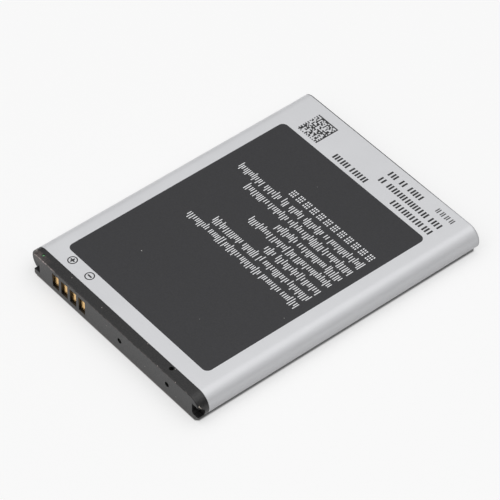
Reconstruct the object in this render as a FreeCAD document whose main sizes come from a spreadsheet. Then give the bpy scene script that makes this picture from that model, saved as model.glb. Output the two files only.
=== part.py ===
import FreeCAD, Part
import Sketcher
import math
import os
import re

# A slim rechargeable pack for a mobile phone.
# X runs across the width, Y along the length with the contact end at -Y, Z through the thickness.
# The origin is the middle of the underside. All sizes are in millimetres.
# A depth is measured from the outer face of the contact end, towards +Y.

os.makedirs("parts", exist_ok=True)
doc = FreeCAD.newDocument("PhoneBattery")

SIZES = [
    ("pack_length", "65.5", "overall length"),
    ("pack_width", "49.2", "overall width, across the rounded long sides"),
    ("pack_thick", "5.3", "overall thickness"),
    ("film", "0.1", "thickness of the label film"),
    ("film_slack", "0.02", "air between film and can at the rounded sides"),
    ("hair_gap", "0.03", "gap at the two ends of the label film"),
    ("fit_gap", "0.05", "clearance round a piece that is dropped into the cap"),
    ("label_edge", "2.25", "depth of the label's near edge"),
    ("cap_wall", "0.55", "wall of the cap above and below the board"),
    ("front_wall", "0.7", "wall of the cap in front of the board"),
    ("edge_round", "0.16", "rounding of the cap's front edges"),
    ("window_wide", "1.85", "width of a contact window"),
    ("window_pitch", "2.56", "spacing of the contact windows"),
    ("window_count", "4", "number of contact windows"),
    ("window_low", "1.2", "height of a window's sill above the underside"),
    ("window_top", "0.9", "distance of a window's head below the top face"),
    ("first_window", "7.3", "from the left end to the first window"),
    ("pin_hole", "1.1", "diameter of the two pin holes in the front face"),
    ("pin_one", "26.8", "from the left end to the first pin hole"),
    ("pin_two", "9.0", "from the right end to the second pin hole"),
    ("pin_level", "2.74", "height of the pin holes"),
    ("top_hole", "0.9", "diameter of the pin hole in the top face"),
    ("top_hole_in", "9.55", "from the right end to the top pin hole"),
    ("top_hole_depth", "1.56", "depth of the top pin hole"),
    ("sight_hole", "0.56", "diameter of the sight hole over the board's corner"),
    ("sight_depth", "1.05", "depth of the sight hole"),
    ("sight_skin", "0.22", "cap wall left above the board's corner"),
    ("left_cut", "1.85", "how far the left end's lip and ledge stop short of the full width"),
    ("left_wall", "3.47", "from the left end to the left latch pocket's inner wall"),
    ("left_deep", "1.05", "depth of the left latch pocket"),
    ("left_ledge", "1.38", "height of the left pocket's ledge"),
    ("left_lip", "1.04", "thickness of the left pocket's lip at its tip"),
    ("left_ramp", "1.87", "thickness of the left pocket's lip at its root"),
    ("left_tip", "0.9", "length of the left lip's gently sloping tip"),
    ("left_fall", "0.25", "fall of the left lip's underside over that tip"),
    ("right_wall", "2.05", "from the right end to the right latch pocket's inner wall"),
    ("right_deep", "1.3", "depth of the right latch pocket"),
    ("right_ledge", "1.28", "height of the right pocket's ledge"),
    ("right_lip", "1.5", "thickness of the right pocket's lip at the front"),
    ("right_ramp", "0.75", "fall of the right lip's underside towards the back"),
    ("right_chamfer", "0.3", "chamfer at the foot of the right pocket's inner wall"),
    ("latch_back", "0.45", "cap wall behind the latch pockets"),
    ("pocket_side", "0.55", "cap wall between a latch pocket and the board"),
    ("contact_deep", "0.45", "depth of a contact's face behind the cap's front"),
    ("contact_gap", "0.08", "air between a contact and the cap round it"),
    ("board_gap", "0.1", "air between front wall and board"),
    ("contact_over", "0.12", "overlap of a contact beyond its window"),
    ("board_thick", "0.6", "thickness of the circuit board"),
    ("tab_reach", "0.9", "how far the board's corner reaches over the left pocket"),
    ("tab_low", "1.4", "distance of that corner's lower edge below the top face"),
    ("parts_space", "2.65", "room between board and cell lid"),
    ("can_wall", "0.35", "wall of the can at its mouth"),
    ("can_round", "0.4", "rounding of the can's closed end"),
    ("lid_thick", "0.8", "thickness of the cell lid"),
    ("press_slack", "0.02", "gap between round pieces that sit in each other"),
    ("seal_hole", "2.4", "diameter of the lid's hole for the terminal"),
    ("seal_wide", "5.0", "width of the terminal gasket's flange"),
    ("seal_high", "2.9", "height of the terminal gasket's flange"),
    ("seal_thick", "0.3", "thickness of the terminal gasket's flange"),
    ("rivet_shank", "1.4", "diameter of the terminal rivet's shank"),
    ("rivet_wide", "4.0", "width of the terminal rivet's head"),
    ("rivet_high", "2.4", "height of the terminal rivet's head"),
    ("rivet_thick", "0.35", "thickness of the terminal rivet's head"),
    ("port_hole", "1.3", "diameter of the lid's filling port"),
    ("port_in", "9.0", "from the middle to the filling port"),
    ("plug_head", "1.8", "diameter of the filling plug's head"),
    ("plug_rise", "0.12", "height of the filling plug's head"),
    ("vent_in", "5.2", "from the right end to the vent's middle"),
    ("vent_run", "1.7", "half the straight run of the vent's score line"),
    ("vent_round", "0.9", "radius of the vent's score line"),
    ("score_wide", "0.2", "width of the vent's score line"),
    ("score_deep", "0.5", "depth of the vent's score line"),
    ("paper", "0.15", "thickness of the insulating paper"),
    ("paper_margin", "0.35", "paper edge set back from the lid's edge"),
    ("strip", "0.15", "thickness of the nickel strips"),
    ("strip_wide", "2.2", "width of the nickel strips"),
    ("bend", "0.2", "inner radius of a nickel strip's bend"),
    ("cutoff_in", "4.4", "from the middle to the thermal cut-off"),
    ("cutoff_long", "7.6", "length of the thermal cut-off"),
    ("cutoff_high", "2.9", "height of the thermal cut-off"),
    ("cutoff_thick", "0.9", "thickness of the thermal cut-off"),
    ("cutoff_round", "0.15", "rounding of the thermal cut-off's corners"),
    ("plate_wide", "3.0", "width of a weld plate on the board"),
    ("plate_high", "2.5", "height of a weld plate"),
    ("plate_thick", "0.3", "thickness of a weld plate"),
    ("plus_in", "6.6", "from the left end to the positive weld plate"),
    ("minus_in", "8.2", "from the right end to the negative weld plate"),
    ("lead_foot", "0.35", "length of a chip lead's foot"),
    ("lead_metal", "0.14", "thickness of a chip lead"),
    ("lead_wide", "0.28", "width of a chip lead"),
    ("switch_at", "7.4", "place of the power switch chip, from the middle"),
    ("switch_wide", "4.4", "width of the power switch chip"),
    ("switch_high", "3.0", "height of the power switch chip"),
    ("switch_thick", "0.9", "thickness of the power switch chip"),
    ("switch_span", "6.2", "span of the power switch chip over its leads"),
    ("switch_pitch", "0.65", "spacing of the power switch chip's leads"),
    ("guard_at", "0.6", "place of the protection chip, from the middle"),
    ("guard_wide", "1.6", "width of the protection chip"),
    ("guard_high", "2.9", "height of the protection chip"),
    ("guard_thick", "1.0", "thickness of the protection chip"),
    ("guard_span", "2.8", "span of the protection chip over its leads"),
    ("guard_pitch", "0.95", "spacing of the protection chip's leads"),
    ("small_wide", "0.8", "width of a chip resistor or capacitor"),
    ("small_high", "1.6", "height of a chip resistor or capacitor"),
    ("small_pitch", "1.3", "spacing of the chip resistors and capacitors"),
    ("small_first", "1.8", "from the middle to the first chip resistor"),
    ("resistor_thick", "0.45", "thickness of a chip resistor"),
    ("capacitor_thick", "0.8", "thickness of a chip capacitor"),
    ("thermistor_wide", "1.0", "width of the thermistor"),
    ("thermistor_high", "1.8", "height of the thermistor"),
    ("thermistor_thick", "0.6", "thickness of the thermistor"),
    ("rail", "0.5", "height of the board holder's rail"),
    ("post", "1.6", "width of the board holder's posts"),
    ("tape", "0.1", "thickness of the adhesive tape under the end plate"),
    ("tape_margin", "0.9", "tape edge set back from the can's edge"),
    ("plate_rim", "0.2", "thickness of the end plate's rim"),
    ("plate_plug", "0.4", "thickness of the end plate's part under the film"),
    ("rim_edge", "0.08", "chamfer on the end plate's outer edge"),
    ("seam_in", "10.6", "from the right end to the label's seam"),
    ("seam_gap", "0.2", "gap between the label's two edges"),
    ("overrun", "1", "how far a cutting outline reaches past the pack"),
]
NAMES = {name for name, value, note in SIZES}

sheet = doc.addObject("Spreadsheet::Sheet", "Sizes")
for row, (name, value, note) in enumerate(SIZES, start=1):
    sheet.set(f"A{row}", name)
    sheet.set(f"B{row}", value)
    sheet.set(f"C{row}", note)
    sheet.setAlias(f"B{row}", name)
doc.recompute()


# Sizes written as text, so that a feature stays bound to the sheet


def bound(text):
    """The text with each size's name turned into its reference in the sheet."""
    return re.sub(r"[a-z_]+", lambda m: f"Sizes.{m[0]}" if m[0] in NAMES else m[0], text)


def value(text):
    return float(sheet.evalExpression(bound(text)))


# Depths and heights that several pieces share
LEFT = "-pack_width / 2"
RIGHT = "pack_width / 2"
MIDDLE = "pack_thick / 2"
CAP_DEEP = "(label_edge - hair_gap)"
BOARD_FRONT = "(front_wall + board_gap)"
BOARD_BACK = "(front_wall + board_gap + board_thick)"
LID_TOP = "(front_wall + board_gap + board_thick + parts_space)"
BAY_BACK = "(max(left_deep; right_deep) + latch_back)"
CAN_END = "(pack_length - plate_rim - plate_plug - tape)"
BOARD_LOW = "(cap_wall + fit_gap)"
BOARD_TOP = "(pack_thick - cap_wall - fit_gap)"
BOARD_LEFT = "(-pack_width / 2 + left_wall + pocket_side + fit_gap)"
BOARD_RIGHT = "(pack_width / 2 - right_wall - pocket_side - fit_gap)"
PARTS_LEVEL = "(pack_thick / 2 + rail / 4)"
STRIP_TOP = f"({LID_TOP} - seal_thick - rivet_thick - strip)"
OUTER_RUN = "(pack_width / 2 - pack_thick / 2)"
CORE_ROUND = "(pack_thick / 2 - film)"
CORE_RUN = "(pack_width / 2 - pack_thick / 2 - film_slack)"


# Sketches, each fully bound to the sheet


def plane(body, role):
    return next(item for item in body.Origin.OriginFeatures if item.Role == role)


def sketch(body, name, role="XZ_Plane", depth=None, offset=None):
    """A sketch on one of the body's own planes: at a depth, or at an offset along the plane's normal."""
    made = body.newObject("Sketcher::SketchObject", name)
    made.AttachmentSupport = [(plane(body, role), "")]
    made.MapMode = "FlatFace"
    place = f"pack_length / 2 - {depth}" if depth else offset
    if place:
        made.setExpression("AttachmentOffset.Base.z", bound(place))
    return made


def pin(made, geometry, end, across, up):
    """Holds one point of the geometry at a place that the sheet gives."""
    for kind, text, axis in (("DistanceX", across, -2), ("DistanceY", up, -1)):
        if text == "0":
            made.addConstraint(Sketcher.Constraint("PointOnObject", geometry, end, axis))
            continue
        made.addConstraint(Sketcher.Constraint(kind, -1, 1, geometry, end, value(text)))
        made.setExpression(f"Constraints[{made.ConstraintCount - 1}]", bound(text))


def outline(made, corners):
    """A closed outline of straight edges through corners given as text."""
    places = [FreeCAD.Vector(value(across), value(up), 0) for across, up in corners]
    first = made.GeometryCount
    count = len(corners)
    for index in range(count):
        made.addGeometry(Part.LineSegment(places[index], places[(index + 1) % count]), False)
    for index in range(count):
        following = first + (index + 1) % count
        made.addConstraint(Sketcher.Constraint("Coincident", first + index, 2, following, 1))
    for index, (across, up) in enumerate(corners):
        pin(made, first + index, 1, across, up)


def rectangle(made, left, right, low, high):
    outline(made, [(left, low), (right, low), (right, high), (left, high)])


def circle(made, across, up, diameter):
    centre = FreeCAD.Vector(value(across), value(up), 0)
    normal = FreeCAD.Vector(0, 0, 1)
    index = made.addGeometry(Part.Circle(centre, normal, value(diameter) / 2), False)
    pin(made, index, 3, across, up)
    made.addConstraint(Sketcher.Constraint("Diameter", index, value(diameter)))
    made.setExpression(f"Constraints[{made.ConstraintCount - 1}]", bound(diameter))


def stadium(made, run, radius, middle="0", level=MIDDLE):
    """Two straight edges joined by half circles, whose centres lie a run to each side of the middle."""
    half, bend, centre, height = value(run), value(radius), value(middle), value(level)
    normal = FreeCAD.Vector(0, 0, 1)
    first = made.GeometryCount
    left_centre = FreeCAD.Vector(centre - half, height, 0)
    right_centre = FreeCAD.Vector(centre + half, height, 0)
    drop = FreeCAD.Vector(0, bend, 0)
    quarter = math.pi / 2
    made.addGeometry(
        [
            Part.LineSegment(left_centre - drop, right_centre - drop),
            Part.ArcOfCircle(Part.Circle(right_centre, normal, bend), -quarter, quarter),
            Part.LineSegment(right_centre + drop, left_centre + drop),
            Part.ArcOfCircle(Part.Circle(left_centre, normal, bend), quarter, 3 * quarter),
        ],
        False,
    )
    for index in range(4):
        following = first + (index + 1) % 4
        made.addConstraint(Sketcher.Constraint("Tangent", first + index, 2, following, 1))
    made.addConstraint(Sketcher.Constraint("Equal", first + 1, first + 3))
    pin(made, first + 1, 3, f"{middle} + ({run})", level)
    pin(made, first + 3, 3, f"{middle} - ({run})", level)
    made.addConstraint(Sketcher.Constraint("Radius", first + 1, bend))
    made.setExpression(f"Constraints[{made.ConstraintCount - 1}]", bound(radius))


# Features


def new_body(name):
    made = doc.addObject("PartDesign::Body", name)
    made.Label = name
    return made


def pad(body, profile, length, towards_back=True):
    """Adds material: towards +Y from an upright sketch, or along the normal of any other."""
    made = body.newObject("PartDesign::Pad", f"{profile.Name}_pad")
    made.Profile = profile
    made.setExpression("Length", bound(length))
    made.Reversed = towards_back
    profile.Visibility = False
    return made


def pocket(body, profile, length, towards_front=False):
    """Cuts towards +Y from an upright sketch, and against the normal of any other, unless reversed."""
    before = volume(body)
    made = body.newObject("PartDesign::Pocket", f"{profile.Name}_cut")
    made.Profile = profile
    made.setExpression("Length", bound(length))
    made.Reversed = towards_front
    profile.Visibility = False
    if volume(body) >= before:
        raise RuntimeError(f"{profile.Name} cuts nothing")
    return made


def repeat(body, feature, along, pitch, count):
    """Repeats a feature in a row along one of the body's own axes."""
    doc.recompute()
    made = body.newObject("PartDesign::LinearPattern", f"{feature.Name}_row")
    made.Originals = [feature]
    made.Direction = (plane(body, along), [""])
    made.setExpression("Length", bound(f"{pitch} * ({count} - 1)"))
    made.setExpression("Occurrences", bound(count))
    body.Tip = made
    return made


def volume(body):
    doc.recompute()
    return body.Shape.Volume


def soften(body, feature, kind, size, chosen):
    """Rounds or chamfers the feature's edges for which chosen(edge) is true."""
    doc.recompute()
    names = [f"Edge{i}" for i, edge in enumerate(feature.Shape.Edges, start=1) if chosen(edge)]
    if not names:
        raise RuntimeError(f"{feature.Name} has no such edge")
    made = body.newObject(f"PartDesign::{kind}", f"{feature.Name}_{kind.lower()}")
    made.Base = (feature, names)
    made.setExpression("Radius" if kind == "Fillet" else "Size", bound(size))
    return made


def at_depth(depth):
    """Chooses the edges that lie wholly at a depth."""
    place = value(f"{depth} - pack_length / 2")
    return lambda edge: max(abs(edge.BoundBox.YMin - place), abs(edge.BoundBox.YMax - place)) < 1e-4


def uprights_at(corners):
    """Chooses the edges that run along Z through corners of a plan outline."""
    places = [(value(across), value(f"{depth} - pack_length / 2")) for across, depth in corners]

    def chosen(edge):
        box = edge.BoundBox
        thin = box.XLength < 1e-4 and box.YLength < 1e-4
        return thin and any(abs(box.XMin - a) < 1e-4 and abs(box.YMin - y) < 1e-4 for a, y in places)

    return chosen


# The cell: a drawn aluminium can, full and sealed, and its welded lid


def make_can():
    body = new_body("cell_can")
    section = sketch(body, "can_section", depth=LID_TOP)
    stadium(section, CORE_RUN, CORE_ROUND)
    shell = pad(body, section, f"{CAN_END} - {LID_TOP}")
    soften(body, shell, "Fillet", "can_round", at_depth(CAN_END))
    mouth = sketch(body, "can_mouth", depth=LID_TOP)
    stadium(mouth, CORE_RUN, f"{CORE_ROUND} - can_wall")
    pocket(body, mouth, "lid_thick")
    return body


def make_lid():
    body = new_body("cell_lid")
    section = sketch(body, "lid_section", depth=LID_TOP)
    stadium(section, f"{CORE_RUN} - press_slack", f"{CORE_ROUND} - can_wall")
    circle(section, "0", MIDDLE, "seal_hole")
    circle(section, "-port_in", MIDDLE, "port_hole")
    pad(body, section, "lid_thick")
    score = sketch(body, "vent_score", depth=LID_TOP)
    place = f"{RIGHT} - vent_in"
    stadium(score, "vent_run", "vent_round", middle=place)
    stadium(score, "vent_run", "vent_round - score_wide", middle=place)
    pocket(body, score, "score_deep")
    return body


def make_gasket():
    """The plastic seal that keeps the terminal apart from the lid: a flange and a sleeve."""
    body = new_body("terminal_gasket")
    flange = sketch(body, "gasket_flange", depth=f"({LID_TOP} - seal_thick)")
    rectangle(
        flange, "-seal_wide / 2", "seal_wide / 2",
        f"{MIDDLE} - seal_high / 2", f"{MIDDLE} + seal_high / 2",
    )
    pad(body, flange, "seal_thick")
    sleeve = sketch(body, "gasket_sleeve", depth=LID_TOP)
    circle(sleeve, "0", MIDDLE, "seal_hole - 2 * press_slack")
    pad(body, sleeve, "lid_thick")
    bore = sketch(body, "gasket_bore", depth=f"({LID_TOP} - seal_thick)")
    circle(bore, "0", MIDDLE, "rivet_shank + 2 * press_slack")
    pocket(body, bore, "seal_thick + lid_thick")
    return body


def make_rivet():
    body = new_body("terminal_rivet")
    head_front = f"({LID_TOP} - seal_thick - rivet_thick)"
    head = sketch(body, "rivet_head", depth=head_front)
    rectangle(
        head, "-rivet_wide / 2", "rivet_wide / 2",
        f"{MIDDLE} - rivet_high / 2", f"{MIDDLE} + rivet_high / 2",
    )
    pad(body, head, "rivet_thick")
    shank = sketch(body, "rivet_shank_section", depth=f"({LID_TOP} - seal_thick)")
    circle(shank, "0", MIDDLE, "rivet_shank")
    pad(body, shank, "seal_thick + lid_thick")
    return body


def make_fill_plug():
    body = new_body("fill_plug")
    head = sketch(body, "plug_head_section", depth=f"({LID_TOP} - plug_rise)")
    circle(head, "-port_in", MIDDLE, "plug_head")
    pad(body, head, "plug_rise")
    shank = sketch(body, "plug_shank", depth=LID_TOP)
    circle(shank, "-port_in", MIDDLE, "port_hole - 2 * press_slack")
    pad(body, shank, "lid_thick")
    return body


def make_lid_paper():
    """Insulating paper on the lid, open over terminal, plug, vent and the positive strip's foot."""
    body = new_body("lid_paper")
    section = sketch(body, "paper_section", depth=f"({LID_TOP} - paper)")
    stadium(section, f"{CORE_RUN} - can_wall", f"{CORE_ROUND} - can_wall - paper_margin")
    rectangle(
        section, "-seal_wide / 2 - fit_gap", "seal_wide / 2 + fit_gap",
        f"{MIDDLE} - seal_high / 2 - fit_gap", f"{MIDDLE} + seal_high / 2 + fit_gap",
    )
    circle(section, "-port_in", MIDDLE, "plug_head + 2 * fit_gap")
    stadium(section, "vent_run", "vent_round + fit_gap", middle=f"{RIGHT} - vent_in")
    foot_left = f"{LEFT} + plus_in - strip - bend"
    rectangle(
        section, f"{foot_left} - fit_gap", f"{LEFT} + plus_in + plate_wide + fit_gap",
        f"{PARTS_LEVEL} - strip_wide / 2 - fit_gap", f"{PARTS_LEVEL} + strip_wide / 2 + fit_gap",
    )
    pad(body, section, "paper")
    return body


# The current path: thermal cut-off and nickel strips


def make_cutoff():
    body = new_body("thermal_cutoff")
    section = sketch(body, "cutoff_section", depth=f"({LID_TOP} - paper - cutoff_thick)")
    rectangle(
        section, "cutoff_in", "cutoff_in + cutoff_long",
        f"{PARTS_LEVEL} - cutoff_high / 2", f"{PARTS_LEVEL} + cutoff_high / 2",
    )
    block = pad(body, section, "cutoff_thick")
    soften(body, block, "Fillet", "cutoff_round", lambda edge: edge.BoundBox.YLength > 1e-3)
    return body


def make_strip(name, corners, round_bends=True):
    """A nickel strip: its bent edge view, drawn in plan, given the strip's width."""
    body = new_body(name)
    edge_view = sketch(body, f"{name}_edge", "XY_Plane", offset=f"{PARTS_LEVEL} - strip_wide / 2")
    outline(edge_view, [(across, f"{depth} - pack_length / 2") for across, depth in corners])
    sheet_metal = pad(body, edge_view, "strip_wide", towards_back=False)
    if round_bends:
        outside = soften(body, sheet_metal, "Fillet", "bend + strip", uprights_at(corners[3:5]))
        soften(body, outside, "Fillet", "bend", uprights_at([corners[0], corners[7]]))
    return body


def folded(fold, reach_low, reach_high, front, back):
    """The edge view of a strip folded once round: a web at fold and two legs.

    front and back are the outer depths of the legs, reach_high and reach_low their far ends.
    """
    inside = f"{fold[0]} + {fold[1]} * strip"
    return [
        (inside, f"{front} + strip"),
        (reach_high, f"{front} + strip"),
        (reach_high, front),
        (fold[0], front),
        (fold[0], back),
        (reach_low, back),
        (reach_low, f"{back} - strip"),
        (inside, f"{back} - strip"),
    ]


def make_cutoff_lead():
    return make_strip(
        "cutoff_lead",
        [
            ("-rivet_wide / 2", STRIP_TOP),
            ("cutoff_in", STRIP_TOP),
            ("cutoff_in", f"{STRIP_TOP} + strip"),
            ("-rivet_wide / 2", f"{STRIP_TOP} + strip"),
        ],
        round_bends=False,
    )


def make_negative_strip():
    """From the cut-off, round to the weld plate near the right end."""
    fold = f"{RIGHT} - minus_in + plate_wide + strip + bend"
    return make_strip(
        "negative_strip",
        folded(
            (fold, -1), "cutoff_in + cutoff_long", f"{RIGHT} - minus_in",
            f"({BOARD_BACK} + plate_thick)", f"({STRIP_TOP} + strip)",
        ),
    )


def make_positive_strip():
    """From the lid, which is the positive pole, round to the weld plate near the left end."""
    fold = f"{LEFT} + plus_in - strip - bend"
    return make_strip(
        "positive_strip",
        folded(
            (fold, 1), f"{LEFT} + plus_in + plate_wide", f"{LEFT} + plus_in + plate_wide",
            f"({BOARD_BACK} + plate_thick)", LID_TOP,
        ),
    )


# The protection board, upright behind the cap's front wall


def make_board():
    """The board, with the corner that reaches over the left latch pocket."""
    body = new_body("circuit_board")
    section = sketch(body, "board_section", depth=BOARD_FRONT)
    step = "pack_thick - tab_low"
    outline(
        section,
        [
            (BOARD_LEFT, BOARD_LOW),
            (BOARD_RIGHT, BOARD_LOW),
            (BOARD_RIGHT, BOARD_TOP),
            (BOARD_LEFT, BOARD_TOP),
            (BOARD_LEFT, "pack_thick - sight_skin - fit_gap"),
            (f"{BOARD_LEFT} - tab_reach", "pack_thick - sight_skin - fit_gap"),
            (f"{BOARD_LEFT} - tab_reach", step),
            (BOARD_LEFT, step),
        ],
    )
    pad(body, section, "board_thick")
    return body


def window_left(index):
    return f"{LEFT} + first_window + {index} * window_pitch"


def make_contact(index):
    """A gilt block on the board, a little larger than the window that it is reached through."""
    body = new_body(f"contact_{index + 1}")
    section = sketch(body, f"contact_{index + 1}_face", depth="contact_deep")
    left = window_left(index)
    rectangle(
        section, f"{left} - contact_over", f"{left} + window_wide + contact_over",
        "window_low - contact_over", "pack_thick - window_top + contact_over",
    )
    pad(body, section, f"{BOARD_FRONT} - contact_deep")
    return body


def on_board(name, thick, blocks):
    """Rectangular blocks soldered flat on the board's back: (middle, width, height) each."""
    body = new_body(name)
    section = sketch(body, f"{name}_outline", depth=BOARD_BACK)
    for middle, wide, high in blocks:
        rectangle(
            section, f"{middle} - ({wide}) / 2", f"{middle} + ({wide}) / 2",
            f"{PARTS_LEVEL} - ({high}) / 2", f"{PARTS_LEVEL} + ({high}) / 2",
        )
    pad(body, section, thick)
    return body


def make_chip(name, part, leads_a_side):
    """A moulded chip with a row of cranked leads on each side, sized by the part's rows in the sheet."""
    middle = f"{part}_at"
    body = on_board(name, f"{part}_thick", [(middle, f"{part}_wide", f"{part}_high")])
    shoulder = f"{BOARD_BACK} + {part}_thick / 2"
    lowest = f"{PARTS_LEVEL} - {part}_pitch * {leads_a_side - 1} / 2 - lead_wide / 2"
    for side, sign in (("left", "-"), ("right", "+")):
        inward = "+" if sign == "-" else "-"
        case = f"{middle} {sign} {part}_wide / 2"
        tip = f"{middle} {sign} {part}_span / 2"
        knee = f"{tip} {inward} lead_foot"
        shin = f"{knee} {inward} lead_metal"
        view = sketch(body, f"{name}_{side}_lead", "XY_Plane", offset=lowest)
        corners = [
            (case, shoulder),
            (knee, shoulder),
            (knee, f"{BOARD_BACK} + lead_metal"),
            (tip, f"{BOARD_BACK} + lead_metal"),
            (tip, BOARD_BACK),
            (shin, BOARD_BACK),
            (shin, f"{shoulder} - lead_metal"),
            (case, f"{shoulder} - lead_metal"),
        ]
        outline(view, [(across, f"{depth} - pack_length / 2") for across, depth in corners])
        lead = pad(body, view, "lead_wide", towards_back=False)
        repeat(body, lead, "Z_Axis", f"{part}_pitch", str(leads_a_side))
    return body


def make_board_parts():
    plate = ("plate_wide", "plate_high")
    small = ("small_wide", "small_high")
    places = [f"-small_first - {step} * small_pitch" for step in range(6)]
    on_board("weld_plate_plus", "plate_thick", [(f"{LEFT} + plus_in + plate_wide / 2", *plate)])
    on_board("weld_plate_minus", "plate_thick", [(f"{RIGHT} - minus_in + plate_wide / 2", *plate)])
    make_chip("power_switch_chip", "switch", 4)
    make_chip("protection_chip", "guard", 3)
    on_board("chip_resistors", "resistor_thick", [(place, *small) for place in places[:4]])
    on_board("chip_capacitors", "capacitor_thick", [(place, *small) for place in places[4:]])
    beyond = f"{places[-1]} - small_pitch - thermistor_wide / 2"
    on_board("thermistor", "thermistor_thick", [(beyond, "thermistor_wide", "thermistor_high")])


def make_board_holder():
    """The moulded holder between board and lid: a rail along the bottom and a post at each end."""
    body = new_body("board_holder")
    section = sketch(body, "holder_section", depth=BOARD_BACK)
    rail_top = f"{BOARD_LOW} + rail"
    outline(
        section,
        [
            (BOARD_LEFT, BOARD_LOW),
            (BOARD_RIGHT, BOARD_LOW),
            (BOARD_RIGHT, BOARD_TOP),
            (f"{BOARD_RIGHT} - post", BOARD_TOP),
            (f"{BOARD_RIGHT} - post", rail_top),
            (f"{BOARD_LEFT} + post", rail_top),
            (f"{BOARD_LEFT} + post", BOARD_TOP),
            (BOARD_LEFT, BOARD_TOP),
        ],
    )
    pad(body, section, "parts_space - paper")
    return body


# The moulded top cap


def make_cap():
    body = new_body("top_cap")
    front = sketch(body, "cap_front", depth="0")
    stadium(front, OUTER_RUN, MIDDLE)
    block = pad(body, front, CAP_DEEP)
    soften(body, block, "Fillet", "edge_round", at_depth("0"))

    skirt = sketch(body, "cap_skirt", depth=CAP_DEEP)
    stadium(skirt, CORE_RUN, CORE_ROUND)
    pad(body, skirt, f"{LID_TOP} - {CAP_DEEP}")

    hollow = sketch(body, "cap_hollow", depth=LID_TOP)
    stadium(hollow, CORE_RUN, f"{MIDDLE} - cap_wall")
    pocket(body, hollow, f"{LID_TOP} - {BAY_BACK}", towards_front=True)

    bay = sketch(body, "board_bay", depth="front_wall")
    rectangle(
        bay, f"{BOARD_LEFT} - fit_gap", f"{BOARD_RIGHT} + fit_gap",
        "cap_wall", "pack_thick - cap_wall",
    )
    pocket(body, bay, f"{BAY_BACK} - front_wall")

    corner = sketch(body, "corner_bay", depth="front_wall")
    rectangle(
        corner, f"{BOARD_LEFT} - tab_reach - fit_gap", f"{BOARD_LEFT} + fit_gap",
        "pack_thick - tab_low - fit_gap", "pack_thick - sight_skin",
    )
    pocket(body, corner, f"{BAY_BACK} - front_wall")

    cut_windows(body)
    cut_pin_holes(body)
    cut_left_latch(body)
    cut_right_latch(body)
    return body


def cut_windows(body):
    """Four windows, through which the phone's springs reach the contacts, and the contacts' seat behind."""
    window = sketch(body, "first_window_outline", depth="0")
    rectangle(
        window, window_left(0), f"{window_left(0)} + window_wide",
        "window_low", "pack_thick - window_top",
    )
    first = pocket(body, window, "front_wall")
    repeat(body, first, "X_Axis", "window_pitch", "window_count")
    seat = sketch(body, "contact_seat", depth="(contact_deep - contact_gap)")
    margin = "(contact_over + contact_gap)"
    rectangle(
        seat, f"{window_left(0)} - {margin}",
        f"{window_left(0)} + (window_count - 1) * window_pitch + window_wide + {margin}",
        f"window_low - {margin}", f"pack_thick - window_top + {margin}",
    )
    pocket(body, seat, "front_wall + contact_gap - contact_deep")


def cut_pin_holes(body):
    """Holes that the mould's pins leave: two in the front face, one in the top, one over the board."""
    face = sketch(body, "front_pin_holes", depth="0")
    circle(face, f"{LEFT} + pin_one", "pin_level", "pin_hole")
    circle(face, f"{RIGHT} - pin_two", "pin_level", "pin_hole")
    pocket(body, face, "front_wall")
    top = sketch(body, "top_pin_hole", "XY_Plane", offset="pack_thick")
    circle(top, f"{RIGHT} - top_hole_in", "top_hole_depth - pack_length / 2", "top_hole")
    pocket(body, top, "cap_wall")
    sight = sketch(body, "sight_hole_outline", "XY_Plane", offset="pack_thick")
    circle(
        sight, f"{BOARD_LEFT} - tab_reach + sight_hole / 2", "sight_depth - pack_length / 2",
        "sight_hole",
    )
    pocket(body, sight, "sight_skin")


def cut_left_latch(body):
    """The left end stops short for the depth of its pocket, whose lip thickens towards its root."""
    beyond = f"{LEFT} - overrun"
    stop = sketch(body, "left_stop", depth="0")
    rectangle(stop, beyond, f"{LEFT} + left_cut", "-overrun", "pack_thick + overrun")
    pocket(body, stop, "left_deep")
    latch = sketch(body, "left_pocket", depth="0")
    outline(
        latch,
        [
            (beyond, "left_ledge"),
            (f"{LEFT} + left_wall", "left_ledge"),
            (f"{LEFT} + left_wall", "pack_thick - left_ramp"),
            (f"{LEFT} + left_cut + left_tip", "pack_thick - left_lip - left_fall"),
            (f"{LEFT} + left_cut", "pack_thick - left_lip"),
            (beyond, "pack_thick - left_lip"),
        ],
    )
    pocket(body, latch, "left_deep")


def cut_right_latch(body):
    """The right pocket, open to the front and to the side, under a lip that falls towards the back."""
    beyond = f"{RIGHT} + overrun"
    wall = f"{RIGHT} - right_wall"
    latch = sketch(body, "right_pocket", depth="0")
    outline(
        latch,
        [
            (f"{wall} + right_chamfer", "right_ledge"),
            (beyond, "right_ledge"),
            (beyond, "pack_thick - right_lip - right_ramp"),
            (wall, "pack_thick - right_lip - right_ramp"),
            (wall, "right_ledge + right_chamfer"),
        ],
    )
    pocket(body, latch, "right_deep")
    ramp = sketch(body, "right_ramp_view", "YZ_Plane", offset=beyond)
    front = "-pack_length / 2"
    outline(
        ramp,
        [
            (f"{front} - overrun", "pack_thick - right_lip - right_ramp"),
            (f"{front} + right_deep", "pack_thick - right_lip - right_ramp"),
            (front, "pack_thick - right_lip"),
            (f"{front} - overrun", "pack_thick - right_lip"),
        ],
    )
    pocket(body, ramp, "right_wall + overrun")


# The closed end and the label


def make_end_tape():
    body = new_body("end_tape")
    section = sketch(body, "tape_section", depth=CAN_END)
    stadium(section, CORE_RUN, f"{CORE_ROUND} - tape_margin")
    pad(body, section, "tape")
    return body


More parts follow.
